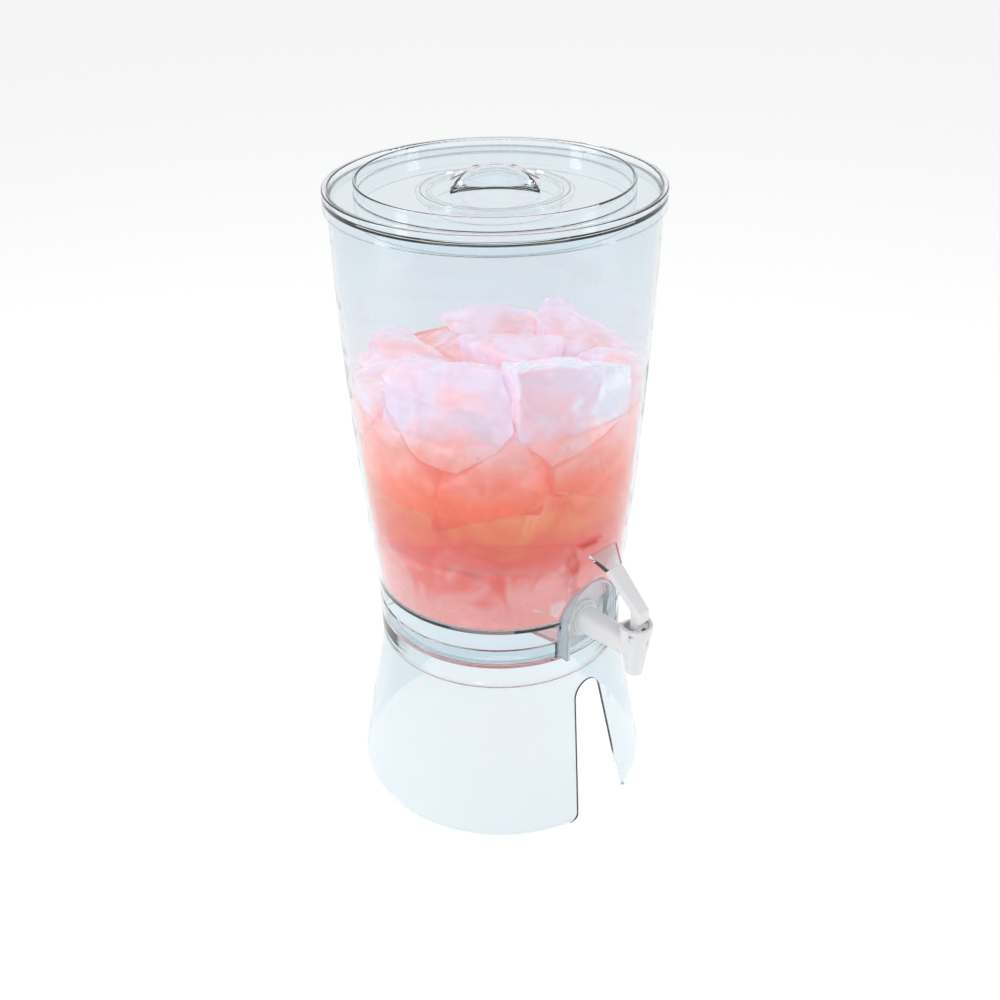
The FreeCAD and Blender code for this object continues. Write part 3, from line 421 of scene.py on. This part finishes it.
def punchDrink():
    # fruit punch: water with colour in it, so it is clear at the top and deepens towards the floor; near the
    # floor it is painted pale where the floor's light shines through
    material, tree, output = newMaterial("fruitPunchClear")
    place = addNode(tree, "ShaderNodeTexCoord").outputs["Object"]
    height = addNode(tree, "ShaderNodeSeparateXYZ", {"Vector": place})
    swirl = addNode(tree, "ShaderNodeTexNoise", {
        "Vector": place, "Scale": perMetre(punch["swirlMm"]), "Detail": 3.0, "Distortion": 1.2})
    drift = addNode(tree, "ShaderNodeMath", {
        0: swirl.outputs["Fac"], 1: punch["drift"], 2: height.outputs["Z"]}, operation="MULTIPLY_ADD")
    share = addNode(tree, "ShaderNodeMapRange", {
        "Value": drift.outputs["Value"], "From Min": floorTop + punch["span"][0],
        "From Max": drink["level"] + punch["span"][1]})
    colour = addNode(tree, "ShaderNodeValToRGB", {"Fac": share.outputs["Result"]})
    setStops(colour, punch["colours"])
    clarity = addNode(tree, "ShaderNodeValToRGB", {"Fac": share.outputs["Result"]})
    setStops(clarity, punch["clarity"])
    clear = addNode(tree, "ShaderNodeMapRange", {"Value": clarity.outputs["Color"]})
    paintedShade = paintedCornerShade(tree, punch["shadeLineWidth"], punch["shadeLineStart"], punch["shadeLineDepth"])
    # painted shade: dark red along the drink's corners
    shadeLined = addNode(tree, "ShaderNodeMix", {
        "Factor": paintedShade, "A": colour.outputs["Color"], "B": linear(punch["line"])}, data_type="RGBA")
    shader = addNode(tree, "ShaderNodeBsdfPrincipled", {
        "Base Color": shadeLined.outputs["Result"], "Roughness": punch["roughness"], "IOR": punch["ior"],
        "Transmission Weight": clear.outputs["Result"],
        "Emission Color": colour.outputs["Color"], "Emission Strength": punch["paintedGlow"]})
    tree.links.new(shader.outputs["BSDF"], output.inputs["Surface"])
    return material


# the ice
ice = {
    "seed": 11,
    "layers": ((374, 7, 88, 2, 28), (332, 7, 86, 2, 24)),   # mm: height, count, radius, then inner ones
    "turnJitter": 0.12,       # radians
    "innerTurn": 0.7,         # radians between the inner chunks of the two layers
    "innerRise": 4,           # mm
    "jitter": 10.0,           # mm
    "gap": 0.7,               # mm, half the gap between neighbours
    "block": 150 * mm,        # each chunk is cut from a cube this wide
    "neighbour": 140 * mm,    # chunks further apart than this don't cut each other
    "tops": 2,                # slanted cuts across the top
    "topTilt": 0.34,
    "topSpread": (-8, 6),     # mm
    "leastTop": 5 * mm,
    "bottom": 292 * mm,
    "bottomTilt": 0.5,
    "bottomSpread": (-8, 8),  # mm
    "leastBottom": 34 * mm,
    "chips": 3,               # corners knocked off each chunk
    "chipReach": (38.0, 52.0),  # mm from the chunk's middle
    "wallGap": 1.0 * mm,
    "wallSides": 10,          # flats that follow the tank's wall
    "wallTurn": 0.28,         # radians between them
    "wallLean": -0.06,
    "voxel": 2.0 * mm,
    "smoothings": 7,
    "meltMm": (26.0, 11.0),   # sizes of the dents that melting leaves
    "meltDepth": (3.4, 1.2),  # mm
    "meltShift": 3.7,         # moves the pattern from chunk to chunk
}
# the heap's top: lower towards the back right, raised at the wall, with a slow wave
heap = {
    "height": 378 * mm,
    "slope": 0.30,
    "towards": (0.688, 0.726),
    "bowl": 1.2,              # metres per square metre
    "wave": 6 * mm,
    "turns": 40,              # radians per metre
    "phase": 1.3,
}


def heapTop(x, y):
    slope = heap["slope"] * (x * heap["towards"][0] + y * heap["towards"][1])
    return (heap["height"] - slope + heap["bowl"] * (x * x + y * y)
            + heap["wave"] * math.sin(heap["turns"] * x + heap["phase"]))


def iceSeeds(rng):
    places = []
    for level, (height, count, radius, inner, innerRadius) in enumerate(ice["layers"]):
        for k in range(count):
            angle = (2 * math.pi * (k + 0.5 * (level % 2)) / count
                     + rng.uniform(-ice["turnJitter"], ice["turnJitter"]))
            places.append(Vector((radius * math.cos(angle), radius * math.sin(angle), height)))
        for k in range(inner):
            angle = math.pi * k + ice["innerTurn"] * level
            places.append(Vector((innerRadius * math.cos(angle), innerRadius * math.sin(angle),
                                  height + ice["innerRise"])))
    return [(p + Vector([rng.uniform(-1, 1) * ice["jitter"] for _ in range(3)])) * mm for p in places]


def sliceOff(bm, place, normal):
    # cuts away what lies beyond a plane and closes the cut
    cut = bmesh.ops.bisect_plane(bm, geom=bm.verts[:] + bm.edges[:] + bm.faces[:], dist=1e-6,
                                 plane_co=place, plane_no=normal, clear_outer=True)
    edges = [e for e in cut["geom_cut"] if isinstance(e, bmesh.types.BMEdge)]
    if edges:
        bmesh.ops.edgeloop_fill(bm, edges=edges)


def tilted(rng, most, upward):
    return Vector((rng.uniform(-most, most), rng.uniform(-most, most), upward)).normalized()


def cutChunk(seed, seeds, rng):
    # a block cut back by its neighbours, the heap's top and bottom, chipped corners and the tank's wall
    bm = bmesh.new()
    bmesh.ops.create_cube(bm, size=ice["block"], matrix=Matrix.Translation(seed))
    for other in seeds:
        apart = other - seed
        if 0 < apart.length < ice["neighbour"]:
            sliceOff(bm, seed + apart * 0.5 - apart.normalized() * ice["gap"] * mm, apart.normalized())
    for _ in range(ice["tops"]):
        tilt = tilted(rng, ice["topTilt"], 1)
        top = heapTop(seed.x, seed.y) + rng.uniform(*ice["topSpread"]) * mm
        sliceOff(bm, Vector((seed.x, seed.y, max(top, seed.z + ice["leastTop"]))), tilt)
    tilt = tilted(rng, ice["bottomTilt"], -1)
    bottom = ice["bottom"] + rng.uniform(*ice["bottomSpread"]) * mm
    sliceOff(bm, Vector((seed.x, seed.y, max(bottom, seed.z - ice["leastBottom"]))), tilt)
    for _ in range(ice["chips"]):
        chip = Vector((rng.gauss(0, 1), rng.gauss(0, 1), rng.gauss(0, 1))).normalized()
        sliceOff(bm, seed + chip * rng.uniform(*ice["chipReach"]) * mm, chip)
    reach = insideRadius(seed.z) - ice["wallGap"]
    for k in range(ice["wallSides"]):
        angle = math.atan2(seed.y, seed.x) + (k - ice["wallSides"] / 2) * ice["wallTurn"]
        normal = Vector((math.cos(angle), math.sin(angle), ice["wallLean"])).normalized()
        sliceOff(bm, Vector((reach * math.cos(angle), reach * math.sin(angle), seed.z)), normal)
    return meshObject("iceChunk", bm)


def meltChunk(chunk, index):
    # rounds the cut corners, dents the faces and keeps it all inside the wall
    bm = bmesh.new()
    bm.from_mesh(chunk.data)
    for _ in range(ice["smoothings"]):
        bmesh.ops.smooth_vert(bm, verts=bm.verts, factor=0.5,
                              use_axis_x=True, use_axis_y=True, use_axis_z=True)
    bm.normal_update()
    shift = Vector((index * ice["meltShift"], 0, 0))
    moves = []
    for vertex in bm.verts:
        lift = sum(depth * mm * noise.noise(vertex.co / (size * mm) + shift)
                   for size, depth in zip(ice["meltMm"], ice["meltDepth"]))
        moves.append(vertex.normal * lift)
    for vertex, move in zip(bm.verts, moves):
        vertex.co += move
        radius = math.hypot(vertex.co.x, vertex.co.y)
        most = insideRadius(vertex.co.z) - ice["wallGap"]
        if radius > most:
            vertex.co.x *= most / radius
            vertex.co.y *= most / radius
    bm.to_mesh(chunk.data)
    bm.free()


def iceChunk(index, seeds, rng):
    chunk = cutChunk(seeds[index], seeds, rng)
    remesh = chunk.modifiers.new("remesh", "REMESH")
    remesh.mode, remesh.voxel_size = "VOXEL", ice["voxel"]
    freeze(chunk)
    meltChunk(chunk, index)
    return chunk


def joined(name, parts):
    bm = bmesh.new()
    for part in parts:
        bm.from_mesh(part.data)
        bpy.data.objects.remove(part)
    for face in bm.faces:
        face.smooth = True
    return meshObject(name, bm)


frozen = {
    "swirlMm": 45.0,
    "drift": 130 * mm,
    "span": (345 * mm, 445 * mm),
    # coral where it stands in the drink, lilac where it is dry
    "colours": ((0.0, "#EE7152"), (0.25, "#F58C74"), (0.5, "#F8AEA8"), (0.75, "#F6CFD9"), (1.0, "#F4E4F4")),
    "stain": "#F4845F",       # drink in the gaps between the chunks
    "stainDepth": (2 * mm, 12 * mm),   # in from the wall
    "stainShare": 0.85,
    "stainFade": 20 * mm,     # below the waterline
    # white patches: partly frost, partly painted highlights
    "frostAndHighlight": "#FFFBFD",
    "frostAndHighlightMm": 30.0,
    "frostAndHighlightShare": (0.54, 0.72),
    "frostAndHighlightMost": 0.42,
    "cloudMm": 30.0,
    "cloudShare": (0.35, 0.65),
    "clarity": (0.15, 0.72),
    "dentStrength": 0.7,
    "dentDepth": 6 * mm,
    "crackMm": 16.0,
    "crackStrength": 0.12,
    "crackDepth": 1 * mm,
    "roughness": 0.05,        # wet
    "ior": 1.31,
    "paintedGlow": 0.19,             # painted light: a glow standing in for light scattered inside
    "softShare": 0.25,
    "softReach": 12 * mm,
    "coat": 0.6,              # film of melt water
    "coatRoughness": 0.03,
    "slopeSpan": (320 * mm, 360 * mm, 400 * mm),   # heights at which the wall's slope is measured
}


def stainShare(tree, place, height):
    # below the waterline the gaps between chunks are full of drink, so faces away from the wall are coral
    flat = addNode(tree, "ShaderNodeVectorMath", {0: place, 1: (1.0, 1.0, 0.0)}, operation="MULTIPLY")
    reach = addNode(tree, "ShaderNodeVectorMath", {0: flat.outputs["Vector"]}, operation="LENGTH")
    low, middle, high = frozen["slopeSpan"]
    widening = (insideRadius(high) - insideRadius(low)) / (high - low)
    wallAt = addNode(tree, "ShaderNodeMath", {
        0: height, 1: widening, 2: insideRadius(middle) - middle * widening}, operation="MULTIPLY_ADD")
    depth = addNode(tree, "ShaderNodeMath", {0: wallAt.outputs["Value"], 1: reach.outputs["Value"]},
                    operation="SUBTRACT")
    stain = addNode(tree, "ShaderNodeMapRange", {
        "Value": depth.outputs["Value"], "From Min": frozen["stainDepth"][0],
        "From Max": frozen["stainDepth"][1], "To Max": frozen["stainShare"]})
    sunk = addNode(tree, "ShaderNodeMapRange", {
        "Value": height, "From Min": drink["level"], "From Max": drink["level"] - frozen["stainFade"]})
    stained = addNode(tree, "ShaderNodeMath", {0: stain.outputs["Result"], 1: sunk.outputs["Result"]},
                      operation="MULTIPLY")
    return stained.outputs["Value"]


def frozenIce():
    # ice from a freezer tray: clear skin, cloudy core, wet and smooth, and stained by the drink below, with
    # white patches that are partly frost and partly painted highlights
    material, tree, output = newMaterial("trayIceWet")
    place = addNode(tree, "ShaderNodeTexCoord").outputs["Object"]
    height = addNode(tree, "ShaderNodeSeparateXYZ", {"Vector": place}).outputs["Z"]
    swirl = addNode(tree, "ShaderNodeTexNoise", {
        "Vector": place, "Scale": perMetre(frozen["swirlMm"]), "Detail": 4.0, "Distortion": 1.0})
    drift = addNode(tree, "ShaderNodeMath", {0: swirl.outputs["Fac"], 1: frozen["drift"], 2: height},
                    operation="MULTIPLY_ADD")
    share = addNode(tree, "ShaderNodeMapRange", {
        "Value": drift.outputs["Value"], "From Min": frozen["span"][0], "From Max": frozen["span"][1]})
    colour = addNode(tree, "ShaderNodeValToRGB", {"Fac": share.outputs["Result"]})
    setStops(colour, frozen["colours"])
    tinted = addNode(tree, "ShaderNodeMix", {
        "Factor": stainShare(tree, place, height), "A": colour.outputs["Color"],
        "B": linear(frozen["stain"])}, data_type="RGBA")
    # white patches: partly frost, partly painted highlights
    frostAndHighlight = addNode(tree, "ShaderNodeTexNoise", {
        "Vector": place, "Scale": perMetre(frozen["frostAndHighlightMm"]), "Detail": 2.0, "Roughness": 0.5,
        "Distortion": 0.7})
    frostedAndHighlit = addNode(tree, "ShaderNodeMapRange", {
        "Value": frostAndHighlight.outputs["Fac"], "From Min": frozen["frostAndHighlightShare"][0],
        "From Max": frozen["frostAndHighlightShare"][1], "To Max": frozen["frostAndHighlightMost"]})
    skin = addNode(tree, "ShaderNodeMix", {
        "Factor": frostedAndHighlit.outputs["Result"], "A": tinted.outputs["Result"],
        "B": linear(frozen["frostAndHighlight"])}, data_type="RGBA")
    cloud = addNode(tree, "ShaderNodeTexNoise", {
        "Vector": place, "Scale": perMetre(frozen["cloudMm"]), "Detail": 1.5, "Roughness": 0.5,
        "Distortion": 0.5})
    clarity = addNode(tree, "ShaderNodeMapRange", {
        "Value": cloud.outputs["Fac"], "From Min": frozen["cloudShare"][0],
        "From Max": frozen["cloudShare"][1], "To Min": frozen["clarity"][0], "To Max": frozen["clarity"][1]})
    crack = addNode(tree, "ShaderNodeTexVoronoi", {"Vector": place, "Scale": perMetre(frozen["crackMm"])},
                    feature="DISTANCE_TO_EDGE")
    dent = addNode(tree, "ShaderNodeBump", {
        "Height": cloud.outputs["Fac"], "Strength": frozen["dentStrength"], "Distance": frozen["dentDepth"]})
    line = addNode(tree, "ShaderNodeBump", {
        "Height": crack.outputs["Distance"], "Strength": frozen["crackStrength"],
        "Distance": frozen["crackDepth"], "Normal": dent.outputs["Normal"]})
    shader = addNode(tree, "ShaderNodeBsdfPrincipled", {
        "Base Color": skin.outputs["Result"], "Roughness": frozen["roughness"], "IOR": frozen["ior"],
        "Emission Color": skin.outputs["Result"], "Emission Strength": frozen["paintedGlow"],
        "Transmission Weight": clarity.outputs["Result"], "Normal": line.outputs["Normal"],
        "Subsurface Weight": frozen["softShare"], "Subsurface Scale": frozen["softReach"],
        "Coat Weight": frozen["coat"], "Coat Roughness": frozen["coatRoughness"]})
    tree.links.new(shader.outputs["BSDF"], output.inputs["Surface"])
    return material


# bubbles
bubbles = {
    "seed": 5,
    "count": 160,
    "sizeMm": (0.7, 2.8),         # radius
    "heights": (285 * mm, 358 * mm),
    "wall": 1.0,                  # mm in from the wall, at most
    "sheen": ("#FFFFFF", "#FBE6E0"),
    "speckMm": 3.0,
}


def makeBubbles():
    rng = random.Random(bubbles["seed"])
    least, most = bubbles["sizeMm"]
    low, high = bubbles["heights"]
    bm = bmesh.new()
    for _ in range(bubbles["count"]):
        size = rng.uniform(0, 1) ** 2       # mostly small ones
        radius = (least + (most - least) * size) * mm
        height = low + (high - low) * rng.uniform(0, 1) ** 0.5       # more of them near the top
        angle = rng.uniform(0, 2 * math.pi)
        reach = insideRadius(height) - radius - (bubbles["wall"] * rng.uniform(0.2, 1.0)) * mm
        bmesh.ops.create_icosphere(bm, subdivisions=2, radius=radius, matrix=Matrix.Translation(
            (reach * math.cos(angle), reach * math.sin(angle), height)))
    for face in bm.faces:
        face.smooth = True
    return meshObject("bubbles", bm)


def airBubble():
    # air in water: the bright ring comes from light that turns back inside
    material, tree, output = newMaterial("airBubbleInWater")
    speck = addNode(tree, "ShaderNodeTexNoise", {
        "Vector": addNode(tree, "ShaderNodeTexCoord").outputs["Object"],
        "Scale": perMetre(bubbles["speckMm"])})
    colour = addNode(tree, "ShaderNodeMix", {
        "Factor": speck.outputs["Fac"], "A": linear(bubbles["sheen"][0]), "B": linear(bubbles["sheen"][1])},
        data_type="RGBA")
    shader = addNode(tree, "ShaderNodeBsdfPrincipled", {
        "Base Color": colour.outputs["Result"], "Roughness": 0.02, "IOR": 1.333,
        "Transmission Weight": 0.8})
    tree.links.new(shader.outputs["BSDF"], output.inputs["Surface"])
    return material


def contents(piece, material, shadow):
    piece.data.materials.clear()
    piece.data.materials.append(material)
    piece.visible_shadow = shadow
    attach(piece, "tank")
    return piece


drinkPiece = contents(makeDrink(), punchDrink(), shadow=False)
for face in drinkPiece.data.polygons:
    face.use_smooth = abs(face.normal.z) < 0.9
iceRandom = random.Random(ice["seed"])
seeds = iceSeeds(iceRandom)
chunks = [iceChunk(i, seeds, iceRandom) for i in range(len(seeds))]
icePiece = contents(joined("ice", chunks), frozenIce(), shadow=True)
contents(makeBubbles(), airBubble(), shadow=False)
print("drink and ice made:", len(seeds), "chunks,", len(icePiece.data.polygons), "faces")

# floor, light and camera
stage = {
    "floor": 16.0,            # radius in metres
    "paper": ("#F6F6F5", "#F4F4F4"),
    "fibreMm": 30.0,
    "floorGlow": 0.33,        # paper lit from below, so it stays white
    "horizon": "#FFFFFF",
    "zenith": "#B9BABC",
    "worldStrength": 1.0,
    "lampAim": 280 * mm,      # height that the lamps point at
}
camera = {
    "lens": 44.81,
    "place": (-0.6132, -0.6474, 0.7773),
    "target": (0.00059, -0.00056, 0.2557),
    "roll": -0.715,
}
# name: metres to the camera's right, metres beyond the object, height, width, height of the panel, watts
lights = {
    "stripLeft": (-1.3, -0.3, 0.9, 0.28, 1.6, 5.0),
    "stripRight": (1.3, -0.3, 0.9, 0.28, 1.6, 3.0),
    "overhead": (0.0, 0.3, 2.2, 1.2, 1.2, 2.5),
    "sparkle": (-0.5, -1.1, 1.5, 0.16, 0.16, 2.2),
}


def paperFloor():
    # matt studio paper, almost white
    material, tree, output = newMaterial("studioPaperMatt")
    fibre = addNode(tree, "ShaderNodeTexNoise", {
        "Vector": addNode(tree, "ShaderNodeTexCoord").outputs["Object"],
        "Scale": perMetre(stage["fibreMm"])})
    colour = addNode(tree, "ShaderNodeMix", {
        "Factor": fibre.outputs["Fac"], "A": linear(stage["paper"][0]), "B": linear(stage["paper"][1])},
        data_type="RGBA")
    shader = addNode(tree, "ShaderNodeBsdfPrincipled", {
        "Base Color": colour.outputs["Result"], "Roughness": 0.9, "Specular IOR Level": 0.1,
        "Emission Color": colour.outputs["Result"], "Emission Strength": stage["floorGlow"]})
    tree.links.new(shader.outputs["BSDF"], output.inputs["Surface"])
    return material


def makeFloor():
    bm = bmesh.new()
    bmesh.ops.create_circle(bm, cap_ends=True, segments=96, radius=stage["floor"])
    floor = meshObject("studioFloor", bm)
    floor.data.materials.append(paperFloor())


def makeCamera():
    data = bpy.data.cameras.new("camera")
    data.lens, data.sensor_width = camera["lens"], 36.0
    made = bpy.data.objects.new("camera", data)
    scene.collection.objects.link(made)
    look = Vector(camera["target"]) - Vector(camera["place"])
    turn = look.to_track_quat("-Z", "Y").to_matrix().to_4x4()
    made.matrix_world = (Matrix.Translation(camera["place"]) @ turn
                         @ Matrix.Rotation(math.radians(camera["roll"]), 4, "Z"))
    scene.camera = made
    return look


def makeLights(look):
    ahead = Vector((look.x, look.y, 0)).normalized()
    right = Vector((ahead.y, -ahead.x, 0))
    for name, (aside, beyond, height, width, tall, watts) in lights.items():
        data = bpy.data.lights.new(name, "AREA")
        data.shape, data.size, data.size_y, data.energy = "RECTANGLE", width, tall, watts
        lamp = bpy.data.objects.new(name, data)
        scene.collection.objects.link(lamp)
        lamp.location = right * aside + ahead * beyond + Vector((0, 0, height))
        aim = Vector((0, 0, stage["lampAim"])) - lamp.location
        lamp.rotation_euler = aim.to_track_quat("-Z", "Y").to_euler()
    world = bpy.data.worlds.new("studio")
    world.use_nodes = True
    tree = world.node_tree
    heading = addNode(tree, "ShaderNodeTexCoord").outputs["Generated"]
    upward = addNode(tree, "ShaderNodeSeparateXYZ", {"Vector": heading})
    sky = addNode(tree, "ShaderNodeMix", {
        "Factor": upward.outputs["Z"], "A": linear(stage["horizon"]), "B": linear(stage["zenith"])},
        data_type="RGBA")
    background = tree.nodes["Background"]
    tree.links.new(sky.outputs["Result"], background.inputs["Color"])
    background.inputs["Strength"].default_value = stage["worldStrength"]
    scene.world = world


makeFloor()
makeLights(makeCamera())
scene.view_settings.view_transform = "Standard"
scene.cycles.max_bounces = 28
scene.cycles.transmission_bounces = 28
scene.cycles.transparent_max_bounces = 16
scene.cycles.diffuse_bounces = 3
scene.cycles.glossy_bounces = 6
print("stage ready")
